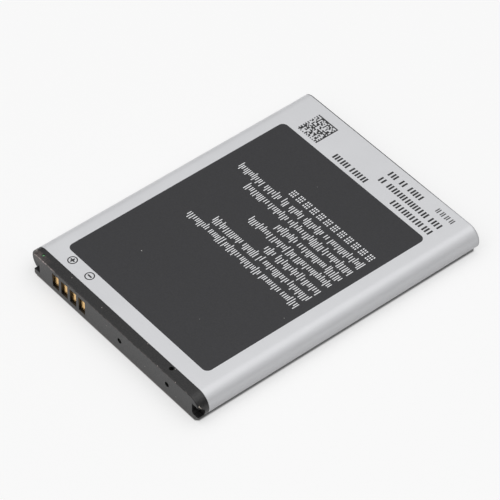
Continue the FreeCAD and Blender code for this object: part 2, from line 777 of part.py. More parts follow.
def make_end_plate():
    """The thin plastic plate on the closed end: a part that the film covers, and a rim."""
    body = new_body("end_plate")
    inner = sketch(body, "plate_plug_section", depth=f"({CAN_END} + tape)")
    stadium(inner, CORE_RUN, CORE_ROUND)
    pad(body, inner, "plate_plug")
    rim = sketch(body, "plate_rim_section", depth="(pack_length - plate_rim)")
    stadium(rim, OUTER_RUN, MIDDLE)
    edge = pad(body, rim, "plate_rim")
    soften(body, edge, "Chamfer", "rim_edge", at_depth("pack_length"))
    return body


def make_label():
    """One film wrapped round can, skirt and end plate, with its seam on the underside."""
    body = new_body("label_wrap")
    outside = sketch(body, "label_outside", depth="label_edge")
    stadium(outside, OUTER_RUN, MIDDLE)
    stadium(outside, OUTER_RUN, CORE_ROUND)
    pad(body, outside, "pack_length - plate_rim - hair_gap - label_edge")
    seam = sketch(body, "label_seam", "XY_Plane")
    rectangle(
        seam, f"{RIGHT} - seam_in - seam_gap / 2", f"{RIGHT} - seam_in + seam_gap / 2",
        "-pack_length / 2", "pack_length / 2",
    )
    pocket(body, seam, "film", towards_front=True)
    return body


PIECES = [
    make_can, make_lid, make_gasket, make_rivet, make_fill_plug, make_lid_paper,
    make_cutoff, make_cutoff_lead, make_negative_strip, make_positive_strip,
    make_board, make_board_parts, make_board_holder, make_cap,
    make_end_tape, make_end_plate, make_label,
]
for make_piece in PIECES:
    make_piece()
for number in range(int(value("window_count"))):
    make_contact(number)
doc.recompute()

for item in doc.Objects:
    if "Invalid" in item.State or "Error" in item.State:
        raise RuntimeError(f"{item.Label} failed: {item.State}")
bodies = [item for item in doc.Objects if item.TypeId == "PartDesign::Body"]
for body in bodies:
    if body.Shape.isNull() or not body.Shape.isValid():
        raise RuntimeError(f"{body.Label} has no valid shape")
for body in bodies:
    body.Shape.exportStep(os.path.join("parts", f"{body.Label}.step"))
    print(f"{body.Label}: {len(body.Shape.Solids)} solid, {body.Shape.Volume:.3f} mm3")
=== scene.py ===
# %% [markdown]
# # A mobile phone battery, from its solids to its picture
#
# The pack's solids come from a CAD model. This lesson dresses them: it prints the label film, gives each
# piece the finish of the real one, adds a few marks of wear and some painted highlights and painted shade,
# and sets the pack on a white table in soft light. Each step first says what the thing is, then how it
# could be made and why one way was chosen.

import math
import random

import bmesh
import bpy
import numpy as np
from mathutils import Matrix, Vector
from mathutils.geometry import delaunay_2d_cdt


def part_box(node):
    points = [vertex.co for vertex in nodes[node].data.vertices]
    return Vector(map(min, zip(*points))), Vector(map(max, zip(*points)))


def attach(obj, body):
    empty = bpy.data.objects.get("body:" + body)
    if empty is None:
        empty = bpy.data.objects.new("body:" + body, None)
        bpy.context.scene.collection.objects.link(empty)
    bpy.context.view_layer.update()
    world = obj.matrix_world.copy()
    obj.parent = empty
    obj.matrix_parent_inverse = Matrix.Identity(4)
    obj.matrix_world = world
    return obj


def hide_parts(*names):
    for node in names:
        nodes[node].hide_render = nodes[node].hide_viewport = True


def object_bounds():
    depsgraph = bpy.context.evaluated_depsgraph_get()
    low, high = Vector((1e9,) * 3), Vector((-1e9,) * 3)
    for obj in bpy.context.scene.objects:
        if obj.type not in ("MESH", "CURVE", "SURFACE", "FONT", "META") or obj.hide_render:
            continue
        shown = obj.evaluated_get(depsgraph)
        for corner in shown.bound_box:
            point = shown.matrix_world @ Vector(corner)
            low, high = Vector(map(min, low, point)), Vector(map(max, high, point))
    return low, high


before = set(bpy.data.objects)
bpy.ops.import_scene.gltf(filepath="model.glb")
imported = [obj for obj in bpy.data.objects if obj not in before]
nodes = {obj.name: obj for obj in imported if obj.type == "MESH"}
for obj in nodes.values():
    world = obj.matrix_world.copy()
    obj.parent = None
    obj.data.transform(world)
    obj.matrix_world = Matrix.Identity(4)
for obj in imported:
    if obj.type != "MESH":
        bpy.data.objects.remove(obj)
cad_low, cad_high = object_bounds()
MM = 0.001
LENGTH, WIDTH, THICK = ((cad_high - cad_low)[axis] / MM for axis in (1, 0, 2))
print(f"{len(nodes)} nodes; the pack is {WIDTH:.1f} x {LENGTH:.1f} x {THICK:.1f} mm")

# %% [markdown]
# ## The camera
#
# The picture was taken from above the pack's front right corner, with a long lens from about 60 cm away.
# A camera could be aimed by eye, but edges of a box that all have known lengths leave nothing to choose:
# one direction, one distance and one lens fit them. Those are written here. The camera looks along its own
# -Z, so its three axes are the picture's right, the picture's up and the way back to the photographer.

# %% Place the camera
AZIMUTH = math.radians(50.396)
ELEVATION = math.radians(45.727)
ROLL = math.radians(-0.046)
DISTANCE = 604.05 * MM
ASIDE = -0.770 * MM
RAISED = 1.784 * MM
SENSOR = 36.0
FOCAL_PIXELS, PICTURE_PIXELS = 3322, 500

back = Vector((
    math.sin(AZIMUTH) * math.cos(ELEVATION),
    -math.cos(AZIMUTH) * math.cos(ELEVATION),
    math.sin(ELEVATION),
))
level_right = Vector((math.cos(AZIMUTH), math.sin(AZIMUTH), 0))
level_up = back.cross(level_right)
right = level_right * math.cos(ROLL) + level_up * math.sin(ROLL)
up = back.cross(right)

camera_data = bpy.data.cameras.new("camera")
camera_data.sensor_fit = "HORIZONTAL"
camera_data.sensor_width = SENSOR
camera_data.lens = SENSOR * FOCAL_PIXELS / PICTURE_PIXELS
camera_data.clip_start = 0.01
camera_data.clip_end = 20
camera = bpy.data.objects.new("camera", camera_data)
turn = Matrix((right, up, back)).transposed()
camera.matrix_world = Matrix.Translation(back * DISTANCE + right * ASIDE + up * RAISED) @ turn.to_4x4()
bpy.context.scene.collection.objects.link(camera)
bpy.context.scene.camera = camera
print("camera at", [round(c, 4) for c in camera.matrix_world.translation], "lens", round(camera_data.lens, 1))

# %% [markdown]
# ## Building materials
#
# Every finish here is one Principled shader and a few textures. The textures read object coordinates,
# which are the pack's own metres, so a grain of a twentieth of a millimetre is written as just that. A
# short helper makes the shader, and others lay grain or uneven tone over it. What is the same all over a
# surface, such as its metalness, is set on the shader itself.


# %% Helpers that make and link shader nodes
def material(name, colour, roughness, **settings):
    """A material with one Principled shader. Settings are the shader's own inputs."""
    made = bpy.data.materials.new(name)
    made.use_nodes = True
    made.diffuse_color = (*colour, 1)
    shader = shader_of(made)
    shader.inputs["Base Color"].default_value = (*colour, 1)
    shader.inputs["Roughness"].default_value = roughness
    for setting, amount in settings.items():
        shader.inputs[setting.replace("_", " ").title()].default_value = amount
    return made


def shader_of(made):
    return made.node_tree.nodes["Principled BSDF"]


def feed(made, socket, given):
    """Gives a socket a number, a colour of three numbers, or another node's output."""
    if isinstance(given, bpy.types.NodeSocket):
        made.node_tree.links.new(given, socket)
    elif socket.type == "RGBA" and len(given) == 3:
        socket.default_value = (*given, 1)
    else:
        socket.default_value = given


def node(made, kind, **inputs):
    """One node of a material, with its inputs fed."""
    added = made.node_tree.nodes.new(kind)
    for name, given in inputs.items():
        feed(made, added.inputs[name.replace("_", " ")], given)
    return added


def paint(made, **sockets):
    """Links outputs to the shader's own inputs."""
    for name, output in sockets.items():
        made.node_tree.links.new(output, shader_of(made).inputs[name.replace("_", " ")])


print("node helpers ready")


# %% Helpers that read the place and reckon with it
def place(made):
    """The point's place on the pack, in metres."""
    return node(made, "ShaderNodeTexCoord").outputs["Object"]


def axes_of(made):
    """The place's three coordinates, each as an output."""
    parts = node(made, "ShaderNodeSeparateXYZ", Vector=place(made))
    return [parts.outputs[axis] for axis in "XYZ"]


def reckon(made, operation, first, second=0.0):
    """One step of arithmetic on numbers or outputs."""
    step = node(made, "ShaderNodeMath")
    step.operation = operation
    for socket, given in zip(step.inputs, (first, second)):
        feed(made, socket, given)
    return step.outputs["Value"]


def highest(made, first, *others):
    """The greatest of some outputs."""
    for other in others:
        first = reckon(made, "MAXIMUM", first, other)
    return first


def product(made, first, *others):
    """The product of some outputs or numbers."""
    for other in others:
        first = reckon(made, "MULTIPLY", first, other)
    return first


def spread(made, value, low, high, low_to=0.0, high_to=1.0):
    """Stretches the values from low to high over low_to to high_to, and holds the ends."""
    made_range = node(
        made, "ShaderNodeMapRange", Value=value,
        **{"From_Min": low, "From_Max": high, "To_Min": low_to, "To_Max": high_to},
    )
    return made_range.outputs["Result"]


print("reckoning helpers ready")

# %% Helpers for grain and uneven tone
SOFT = (0.3, 0.7)
CRISP = (0.35, 0.65)


def noise(made, size_mm, detail=2.0, stretch=(1, 1, 1)):
    """Noise whose patches are about size_mm across, from 0 to 1 about 0.5."""
    spot = place(made)
    if stretch != (1, 1, 1):
        spot = node(made, "ShaderNodeMapping", Vector=spot, Scale=stretch).outputs["Vector"]
    made_noise = node(made, "ShaderNodeTexNoise", Vector=spot, Scale=1 / (size_mm * MM), Detail=detail)
    return made_noise.outputs["Fac"]


def mixed(made, share, first, second):
    """A colour between two colours, each a triple or another node's output."""
    mix = made.node_tree.nodes.new("ShaderNodeMix")
    mix.data_type = "RGBA"
    for name, given in (("Factor", share), ("A", first), ("B", second)):
        feed(made, mix.inputs[name], given)
    return mix.outputs["Result"]


def tones(made, size_mm, detail, contrast, darker, lighter):
    """A colour that wanders between two tones, in patches about size_mm across."""
    return mixed(made, spread(made, noise(made, size_mm, detail), *contrast), darker, lighter)


def uneven_gloss(made, size_mm, detail, smoothest, roughest, stretch=(1, 1, 1)):
    """Lets the roughness wander between two values."""
    wander = noise(made, size_mm, detail, stretch)
    paint(made, Roughness=spread(made, wander, *SOFT, smoothest, roughest))


def raise_by(made, height, depth_mm):
    """Bumps the surface by a height from 0 to 1, which stands for depth_mm. It adds to earlier bumps."""
    bump = node(made, "ShaderNodeBump", Height=height, Strength=1.0, Distance=depth_mm * MM)
    before = shader_of(made).inputs["Normal"]
    if before.links:
        made.node_tree.links.new(before.links[0].from_socket, bump.inputs["Normal"])
    made.node_tree.links.new(bump.outputs["Normal"], before)


print("grain helpers ready")

# %% [markdown]
# ## The table and the light
#
# The pack lies on a white table in a white room, in soft light that comes mostly from straight above: the
# upright part of the rounded side is about two thirds as bright as the top. A little light comes from all
# round. The table round the pack is nearly white in the picture, and its shadow is faint. More light would
# wash out the silver, so the table is brighter to the camera and in mirrors than it is as a source of
# light: a Light Path node tells the two apart, and the shadow stays. Close under the pack's rounded edges
# the table loses that brightness and keeps its plain grey. This is a painted contact shadow, the thin dark
# line that a thing draws where it stands. That part is found from the distance to the pack's outline, cut
# off at the corners.

# %% The table's white
TABLE_BOUNCE = (0.40, 0.40, 0.40)
TABLE_SEEN = (0.47, 0.47, 0.47)
TABLE_GLOW = 0.522
NO_GLOW, WHITE_GLOW = (0.0, 0.0, 0.0), (1.0, 1.0, 1.0)
table_white = material("table_white", TABLE_BOUNCE, 0.8)
shader_of(table_white).inputs["Specular IOR Level"].default_value = 0.1
shader_of(table_white).inputs["Emission Strength"].default_value = TABLE_GLOW
raise_by(table_white, noise(table_white, 1.2, 3), 0.01)
print("the table glows with", TABLE_GLOW, "where it is seen")

# %% Part the seen table from the table that sheds light
# Each pair says where the open table starts: it is dark up to the first distance past the pack's
# outline and open from the second. Distances under 0 lie below the pack's overhanging edge, and at a
# corner the distances past both sides are added.
# The dark part is a painted contact shadow: there the camera sees the table without its glow.
SIDE_OPENS = (-0.95 * MM, -0.6 * MM)
FRONT_OPENS = (-0.12 * MM, 0.08 * MM)
CORNER_OPENS = (-2.1 * MM, -1.8 * MM)
CORNER_SHIFT = 0.6 * MM


def past_side(x, shift=0.0):
    """How far a point of the table lies past the pack's long sides, which may be shifted along X."""
    from_middle = reckon(table_white, "ABSOLUTE", reckon(table_white, "SUBTRACT", x, shift))
    return reckon(table_white, "SUBTRACT", from_middle, cad_high.x)


table_x, table_y, _ = axes_of(table_white)
past_end = reckon(table_white, "SUBTRACT", reckon(table_white, "ABSOLUTE", table_y), cad_high.y)
past_corner = reckon(table_white, "ADD", past_side(table_x, CORNER_SHIFT), past_end)
outside_painted_shadow = highest(
    table_white,
    spread(table_white, past_side(table_x), *SIDE_OPENS),
    spread(table_white, past_end, *FRONT_OPENS),
    spread(table_white, past_corner, *CORNER_OPENS),
    node(table_white, "ShaderNodeNewGeometry").outputs["Backfacing"],
)
path = node(table_white, "ShaderNodeLightPath")
is_seen = highest(
    table_white, *(path.outputs[f"Is {kind} Ray"] for kind in ("Camera", "Glossy", "Transmission"))
)
share = product(table_white, is_seen, outside_painted_shadow)
paint(table_white, Base_Color=mixed(table_white, share, TABLE_BOUNCE, TABLE_SEEN))
paint(table_white, Emission_Color=mixed(table_white, share, NO_GLOW, WHITE_GLOW))
print("the open table starts", round(SIDE_OPENS[1] / MM, 2), "mm past the pack's sides")

# %% Lay the table
# It lies a hair under the pack, because two faces in one plane flicker.
TABLE_HALF = 3.0
TABLE_DROP = 0.02 * MM
table_mesh = bpy.data.meshes.new("table")
corners = [
    (x * TABLE_HALF, y * TABLE_HALF, -TABLE_DROP) for x, y in ((-1, -1), (1, -1), (1, 1), (-1, 1))
]
table_mesh.from_pydata(corners, [], [(0, 1, 2, 3)])
table_mesh.materials.append(table_white)
table = bpy.data.objects.new("table", table_mesh)
bpy.context.scene.collection.objects.link(table)
print("table", 2 * TABLE_HALF, "m wide")

# %% Light the room
HORIZON_LIGHT, SKY_LIGHT = 0.0, 0.42
SKY_FROM = 0.5
world = bpy.data.worlds.new("room")
world.use_nodes = True
background = world.node_tree.nodes["Background"]
background.inputs["Color"].default_value = (1, 1, 1, 1)
looks_to = node(world, "ShaderNodeTexCoord").outputs["Generated"]
height = node(world, "ShaderNodeSeparateXYZ", Vector=looks_to).outputs["Z"]
brightness = spread(world, height, 0.0, SKY_FROM, HORIZON_LIGHT, SKY_LIGHT)
world.node_tree.links.new(brightness, background.inputs["Strength"])
bpy.context.scene.world = world
bpy.context.scene.view_settings.view_transform = "Standard"
print("the room's light rises from", HORIZON_LIGHT, "at the horizon to", SKY_LIGHT)

# %% Hang the lamp
LAMP_SIDE = 1.7
LAMP_AWAY = 1.0
LAMP_LEAN = math.radians(6)
LAMP_BRIGHT = 1.08
lamp_data = bpy.data.lights.new("lamp", "AREA")
lamp_data.shape = "SQUARE"
lamp_data.size = LAMP_SIDE
lamp_data.energy = LAMP_BRIGHT * math.pi * LAMP_SIDE ** 2
lamp = bpy.data.objects.new("lamp", lamp_data)
lean = Vector((back.x, back.y, 0)).normalized() * math.sin(LAMP_LEAN)
lamp.location = (Vector((0, 0, math.cos(LAMP_LEAN))) + lean) * LAMP_AWAY
lamp.rotation_mode = "QUATERNION"
lamp.rotation_quaternion = lamp.location.to_track_quat("Z", "Y")
bpy.context.scene.collection.objects.link(lamp)
print("lamp at", [round(c, 2) for c in lamp.location], "power", round(lamp_data.energy, 2))

# %% [markdown]
# ## The label film
#
# The pack is held together by one silver film, a tenth of a millimetre thick, wrapped round the cell with
# a butt seam on the underside. Its top is printed: a charcoal panel with rounded corners, rows of small
# print, the signs of the two poles beside the cap, and a square dot code. The print could be a picture
# laid over the film, but a picture blurs when one comes close. It could be thin plates laid on the film,
# but plates that thin flicker. Here the film's top is one flat sheet cut along every printed outline, so
# each ink is a set of faces of the film itself and stays crisp at any distance.
#
# Each row of small print is made of runs of short upright ticks of uneven height, which from a step away
# gives the grey of print. The dot code is random.

# %% Sizes of the film, from the solids and the photograph
film_low, film_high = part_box("label_wrap")
FILM = 0.1
NEAR, FAR = film_low.y / MM, film_high.y / MM
ROUND = THICK / 2
RUN = WIDTH / 2 - ROUND
SEAM_AT = 14.0
SEAM_GAP = 0.2
PANEL = (-20.16, 19.73, -27.16, 23.88)
PANEL_ROUND = 1.2
print(f"film from y {NEAR:.2f} to {FAR:.2f} mm, flat top {2 * RUN:.1f} mm wide")


# %% Outlines in plan
def box_outline(left, right_end, near, far):
    return [(left, near), (right_end, near), (right_end, far), (left, far)]


def round_outline(middle, radius, steps=32):
    turns = [2 * math.pi * step / steps for step in range(steps)]
    return [(middle[0] + radius * math.cos(t), middle[1] + radius * math.sin(t)) for t in turns]


def panel_outline(left, right_end, near, far, radius, steps=10):
    """A rectangle whose corners are quarter circles."""
    points = []
    for x, y, start in (
        (right_end - radius, near + radius, -90), (right_end - radius, far - radius, 0),
        (left + radius, far - radius, 90), (left + radius, near + radius, 180),
    ):
        for step in range(steps + 1):
            t = math.radians(start + 90 * step / steps)
            points.append((x + radius * math.cos(t), y + radius * math.sin(t)))
    return points


# The inks, in the order of the film's material slots
SILVER, CHARCOAL, WHITE, BLACK, FAINT, DUST = range(6)
shapes = [
    (box_outline(-RUN, RUN, NEAR, FAR), SILVER),
    (panel_outline(*PANEL, PANEL_ROUND), CHARCOAL),
]
print("panel", round(PANEL[1] - PANEL[0], 2), "x", round(PANEL[3] - PANEL[2], 2), "mm")

# %% Places of the small print
# The print reads towards -X, so it starts at the right and its upper edge faces the cap.
# Each row gives its middle, its start, and the places and lengths of its words from there.
WHITE_START = 17.6
WHITE_ROWS = [
    (-4.73, [(0, 4.6), (5.0, 3.3), (8.7, 1.4), (10.5, 5.2), (16.1, 4.4), (20.9, 3.8), (25.2, 5.3)]),
    (-2.17, [(0, 5.4), (5.8, 6.6), (12.8, 1.2), (14.3, 3.9), (18.6, 8.0)]),
    (0.33, [(0, 3.8), (4.3, 6.2), (10.8, 1.1), (12.4, 2.8)]),
    (2.90, [(0, 9.3), (9.7, 1.7), (11.9, 4.0), (16.4, 6.2)]),
    (5.40, [(0, 3.8), (4.3, 6.1), (10.8, 1.1), (12.4, 5.5)]),
    (7.90, [(0, 6.3), (6.7, 0.9), (8.0, 5.3), (13.6, 3.8), (17.8, 1.8), (19.9, 2.9),
            (23.3, 0.8), (24.5, 5.0)]),
    (10.40, [(0, 2.5), (2.9, 3.7), (6.9, 1.9), (9.3, 1.2), (10.9, 5.2), (16.5, 3.7), (20.7, 1.7),
             (22.8, 4.5), (27.6, 1.2), (29.2, 5.0)]),
]
SPACED_MIDDLE, SPACED_LEVEL = 13.03, 0.6
SPACED_WORDS = [(0.1 + step * 1.93, 1.3) for step in range(12)]
BLACK_ROWS = [
    (25.57, 19.17, [(0, 2.0), (2.5, 8.5)]),
    (25.40, 1.60, [(0, 4.2), (4.95, 4.1)]),
    (27.87, 19.23, [(0, 3.0), (3.6, 11.2), (15.3, 1.8)]),
    (30.20, 11.60, [(0, 4.0), (4.5, 1.8), (6.9, 2.2)]),
]
FAINT_ROW = (30.50, 19.83, [(step * 1.23, 0.8) for step in range(4)])
print(len(WHITE_ROWS) + 1, "white rows,", len(BLACK_ROWS), "black rows and a faint one")

# %% Rows of ticks
# For each kind of print: a tick's height and width, the gaps between ticks, and how far some ticks
# rise above the row or drop below it.
WHITE_PRINT = {"tall": 1.06, "stroke": 0.18, "gaps": (0.26, 0.32, 0.40), "rise": 0.55, "drop": 0.45}
SPACED_PRINT = {"tall": 0.36, "stroke": 0.25, "gaps": (0.24,), "rise": 0.0, "drop": 0.0}
BLACK_PRINT = {"tall": 1.34, "stroke": 0.42, "gaps": (0.26, 0.40), "rise": 0.04, "drop": 0.0}
FAINT_PRINT = {"tall": 1.15, "stroke": 0.26, "gaps": (0.2,), "rise": 0.08, "drop": 0.0}
RISES = (0, 0, 0.9, 1)
DROPS = (0, 0, 0, 0, 0, 0, 1)
CLOSE_ENOUGH = 0.01
dice = random.Random(41)


def print_row(middle, start, words, ink, tall, stroke, gaps, rise, drop):
    """Words as runs of upright ticks."""
    for place_of_word, length in words:
        x = start - place_of_word
        end = x - length
        while x - stroke > end - CLOSE_ENOUGH:
            low = middle - tall / 2 - rise * dice.choice(RISES)
            high = middle + tall / 2 + drop * dice.choice(DROPS)
            shapes.append((box_outline(x - stroke, x, low, high), ink))
            x -= stroke + dice.choice(gaps)


for middle, words in WHITE_ROWS:
    print_row(middle, WHITE_START, words, WHITE, **WHITE_PRINT)
for level in (-SPACED_LEVEL, 0.0, SPACED_LEVEL):
    print_row(SPACED_MIDDLE + level, WHITE_START, SPACED_WORDS, WHITE, **SPACED_PRINT)
for middle, start, words in BLACK_ROWS:
    print_row(middle, start, words, BLACK, **BLACK_PRINT)
print_row(*FAINT_ROW, FAINT, **FAINT_PRINT)
print(len(shapes), "printed shapes after the rows")

# %% Signs of the poles
SIGN_RADIUS = 0.98
SIGN_LINE = 0.23
PLUS_AT = (-16.82, -28.44)
MINUS_AT = (-11.71, -28.51)
ARM = 0.53
ARM_LINE = 0.33
for x, y in (PLUS_AT, MINUS_AT):
    shapes.append((round_outline((x, y), SIGN_RADIUS), BLACK))
    shapes.append((round_outline((x, y), SIGN_RADIUS - SIGN_LINE), SILVER))
    shapes.append((box_outline(x - ARM, x + ARM, y - ARM_LINE / 2, y + ARM_LINE / 2), BLACK))
x, y = PLUS_AT
shapes.append((box_outline(x - ARM_LINE / 2, x + ARM_LINE / 2, y - ARM, y + ARM), BLACK))
print(len(shapes), "printed shapes with the signs")

# %% The dot code
CODE_LEFT, CODE_NEAR = -17.45, 24.85
CODE_SIDE = 5.5
CODE_CELLS = 20
DARK_SHARE = 0.47
CELL = CODE_SIDE / CODE_CELLS
LAST = CODE_CELLS - 1
for across in range(CODE_CELLS):
    for along in range(CODE_CELLS):
        if across == LAST or along == LAST:
            filled = True
        elif across == 0 or along == 0:
            filled = (across + along) % 2 == 1
        else:
            filled = dice.random() < DARK_SHARE
        if filled:
            x, y = CODE_LEFT + across * CELL, CODE_NEAR + along * CELL
            shapes.append((box_outline(x, x + CELL, y, y + CELL), BLACK))
print(len(shapes), "printed shapes with the code")

# %% Specks of dust
# Each speck has its place and its radius.
DUST_AT = [(-10.81, -17.42, 0.11), (18.38, -8.38, 0.07), (-3.0, 17.5, 0.05), (9.0, -20.0, 0.05)]
SPECK_CORNERS = 7
for x, y, radius in DUST_AT:
    turns = [2 * math.pi * step / SPECK_CORNERS for step in range(SPECK_CORNERS)]
    reach = [radius * dice.uniform(0.6, 1.3) for _ in turns]
    shapes.append(([(x + r * math.cos(t), y + r * math.sin(t)) for r, t in zip(reach, turns)], DUST))
print(len(shapes), "printed shapes in all")


# %% Cut the film's top along the print
def covers(outline, across, along):
    """Which of many points lie inside an outline.

    A point is inside if an odd number of the outline's edges lie to its right.
    """
    inside = np.zeros(len(across), bool)
    for (x0, y0), (x1, y1) in zip(outline, outline[1:] + outline[:1]):
        if y0 != y1:
            crossing = x0 + (along - y0) * (x1 - x0) / (y1 - y0)
            inside ^= ((y0 > along) != (y1 > along)) & (across < crossing)
    return inside


def cut_sheet():
    """Points and triangles of one flat sheet, and the ink of each triangle.

    Where shapes overlap, the later one's ink is on top.
    """
    points, outlines = [], []
    for outline, _ in shapes:
        outlines.append(list(range(len(points), len(points) + len(outline))))
        points.extend(Vector(point) for point in outline)
    places, _, faces, *_ = delaunay_2d_cdt(points, [], outlines, 1, 1e-5, False)
    middles = np.array([sum((places[corner] for corner in face), Vector((0, 0))) / 3 for face in faces])
    inks = np.full(len(faces), SILVER)
    for outline, ink in shapes:
        inks[covers(outline, middles[:, 0], middles[:, 1])] = ink
    return places, faces, inks


sheet_points, sheet_faces, sheet_inks = cut_sheet()
print(len(sheet_points), "points and", len(sheet_faces), "triangles in the film's top")

# %% The film's section
ARC_STEPS = 28
TOP_EDGE = ARC_STEPS + 1


def section(radius):
    """The film's section from one side of the seam to the other: (x, z) points, going up the right side."""
    points = [(SEAM_AT + SEAM_GAP / 2, ROUND - radius)]
    for centre, start in ((RUN, -90), (-RUN, 90)):
        for step in range(ARC_STEPS + 1):
            t = math.radians(start + 180 * step / ARC_STEPS)
            points.append((centre + radius * math.cos(t), ROUND + radius * math.sin(t)))
    points.append((SEAM_AT - SEAM_GAP / 2, ROUND - radius))
    return points


print("the film's section has", len(section(ROUND)), "points")

# %% Wrap the film round the pack
SHARP_EDGE = math.radians(30)


def sleeve_faces(sleeve, rings):
    """The sleeve's walls and rims, open at the top, where the printed sheet goes."""
    out_near, out_far = rings["outer", NEAR], rings["outer", FAR]
    in_near, in_far = rings["inner", NEAR], rings["inner", FAR]
    last = len(out_near) - 1
    for a in range(last):
        b = a + 1
        if a != TOP_EDGE:
            sleeve.faces.new((out_near[a], out_near[b], out_far[b], out_far[a]))
        sleeve.faces.new((in_near[b], in_near[a], in_far[a], in_far[b]))
        sleeve.faces.new((out_near[b], out_near[a], in_near[a], in_near[b]))
        sleeve.faces.new((out_far[a], out_far[b], in_far[b], in_far[a]))
    for end, flip in ((0, False), (last, True)):
        loop = [out_near[end], out_far[end], in_far[end], in_near[end]]
        sleeve.faces.new(reversed(loop) if flip else loop)


def wrap_film():
    """The whole film as one mesh: sleeve, rims and printed top."""
    sleeve = bmesh.new()
    rings = {
        (side, y): [sleeve.verts.new((x, y, z)) for x, z in section(radius)]
        for side, radius in (("outer", ROUND), ("inner", ROUND - FILM)) for y in (NEAR, FAR)
    }
    sleeve_faces(sleeve, rings)
    for face in sleeve.faces:
        face.material_index = SILVER
    sheet = [sleeve.verts.new((point.x, point.y, THICK)) for point in sheet_points]
    for corners, ink in zip(sheet_faces, sheet_inks):
        face = sleeve.faces.new([sheet[corner] for corner in corners])
        face.material_index = int(ink)
    bmesh.ops.remove_doubles(sleeve, verts=sleeve.verts, dist=1e-4)
    bmesh.ops.recalc_face_normals(sleeve, faces=sleeve.faces)
    bmesh.ops.scale(sleeve, vec=(MM, MM, MM), verts=sleeve.verts)
    for edge in sleeve.edges:
        edge.smooth = edge.calc_face_angle(0) < SHARP_EDGE
    for face in sleeve.faces:
        face.smooth = True
    mesh = bpy.data.meshes.new("label_sleeve")
    sleeve.to_mesh(mesh)
    sleeve.free()
    return mesh


film_mesh = wrap_film()
film = bpy.data.objects.new("label_sleeve", film_mesh)
bpy.context.scene.collection.objects.link(film)
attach(film, "root")
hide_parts("label_wrap")
loose_edges = sum(1 for edge in film_mesh.edges if edge.is_loose)
print("film:", len(film_mesh.polygons), "faces,", loose_edges, "loose edges")

# %% [markdown]
# ## The film's silver and its inks
#
# The film is plastic with a vapour of aluminium behind it: it shines softly, between paint and metal. A
# fully metallic shader would mirror the dark parts of the room, and plain paint would show no sheen on the
# rounded sides, so the shader is slightly metallic with a wide soft highlight. A very fine grain breaks the
# highlight up. The charcoal ink is a matt layer that still takes a faint sheen from the film.

# %% Make the film's silver
silver = material("film_silver", (0.732, 0.737, 0.757), 0.35, metallic=0.16)
paint(silver, Base_Color=tones(silver, 9, 2, SOFT, (0.720, 0.725, 0.744), (0.745, 0.750, 0.769)))
uneven_gloss(silver, 0.35, 2, 0.32, 0.39)
raise_by(silver, noise(silver, 0.12, 2), 0.0006)
raise_by(silver, noise(silver, 14, 1), 0.02)
film_mesh.materials.append(silver)
print("silver is metallic by", round(shader_of(silver).inputs["Metallic"].default_value, 2))

# %% Make the inks
charcoal = material("ink_charcoal", (0.026, 0.026, 0.029), 0.45)
paint(charcoal, Base_Color=tones(charcoal, 0.3, 3, SOFT, (0.0225, 0.0225, 0.025), (0.0295, 0.0295, 0.033)))
uneven_gloss(charcoal, 0.5, 2, 0.41, 0.5)
raise_by(charcoal, noise(charcoal, 0.12, 2), 0.0008)
film_mesh.materials.append(charcoal)


def ink(name, colour, roughness, size_mm, darker, lighter):
    """A matt ink of uneven tone, in the film's next material slot."""
    made = material(name, colour, roughness)
    paint(made, Base_Color=tones(made, size_mm, 2, CRISP, darker, lighter))
    film_mesh.materials.append(made)


ink("ink_white", (0.90, 0.905, 0.92), 0.5, 0.1, (0.86, 0.865, 0.88), (0.94, 0.945, 0.96))
ink("ink_black", (0.012, 0.012, 0.013), 0.5, 0.12, (0.008, 0.008, 0.009), (0.03, 0.03, 0.032))
ink("ink_faint", (0.06, 0.06, 0.065), 0.5, 0.12, (0.03, 0.03, 0.033), (0.11, 0.11, 0.115))
ink("dust", (0.55, 0.55, 0.54), 0.9, 0.05, (0.4, 0.4, 0.39), (0.65, 0.65, 0.64))
print("finishes on the film:", [made.name for made in film_mesh.materials])

# %% [markdown]
# ## The moulded cap
#
# The cap is black plastic with a fine spark-eroded grain. Black plastic is hardly lit by its own colour:
# almost all that one sees is the room mirrored softly in its surface, which is why its front, seen at a
# low angle and mirroring the white table, looks lighter than its top. A dark base colour with the usual
# gloss of plastic gives that by itself, so no lighter grey is painted on.

# %% Make the cap's plastic
cap_black = material("cap_plastic", (0.017, 0.0165, 0.017), 0.36)
clean = tones(cap_black, 0.28, 4, CRISP, (0.009, 0.009, 0.0105), (0.025, 0.024, 0.0235))
uneven_gloss(cap_black, 0.2, 3, 0.29, 0.43)
raise_by(cap_black, noise(cap_black, 0.12, 3), 0.006)
print("cap plastic made")

# %% [markdown]
# ## Wear and painted light on the cap
#
# A cap of dark plastic shows wear first on its sharp edges, where the skin is rubbed pale, and it holds a
# few specks of dust. Both could be pieces of their own, but they have no thickness to speak of. So they are
# part of the plastic's colour, and so are a few painted highlights and a band of painted light. One mask
# follows the front's upper edge and is broken up by noise: it is rubbed skin and also a painted highlight
# where the edge catches the light. One is a handful of small spheres round chosen points, which are dust,
# and one more sphere is a painted glint on the step of the left lip. One scuffs the left end, and one is a
# pale brownish band of painted light along the edge that stands on the table, which lifts the shade there.


# %% Helpers for marks at a place
def near_points(made, points, radius_mm):
    """1 within the radius of any of the points, falling to 0 at twice the radius. Points are in mm."""
    nearest = None
    for point in points:
        gap = node(made, "ShaderNodeVectorMath")
        gap.operation = "DISTANCE"
        feed(made, gap.inputs[0], place(made))
        gap.inputs[1].default_value = tuple(c * MM for c in point)
        distance = gap.outputs["Value"]
        nearest = distance if nearest is None else reckon(made, "MINIMUM", nearest, distance)
    return spread(made, nearest, radius_mm * MM, 2 * radius_mm * MM, 1.0, 0.0)


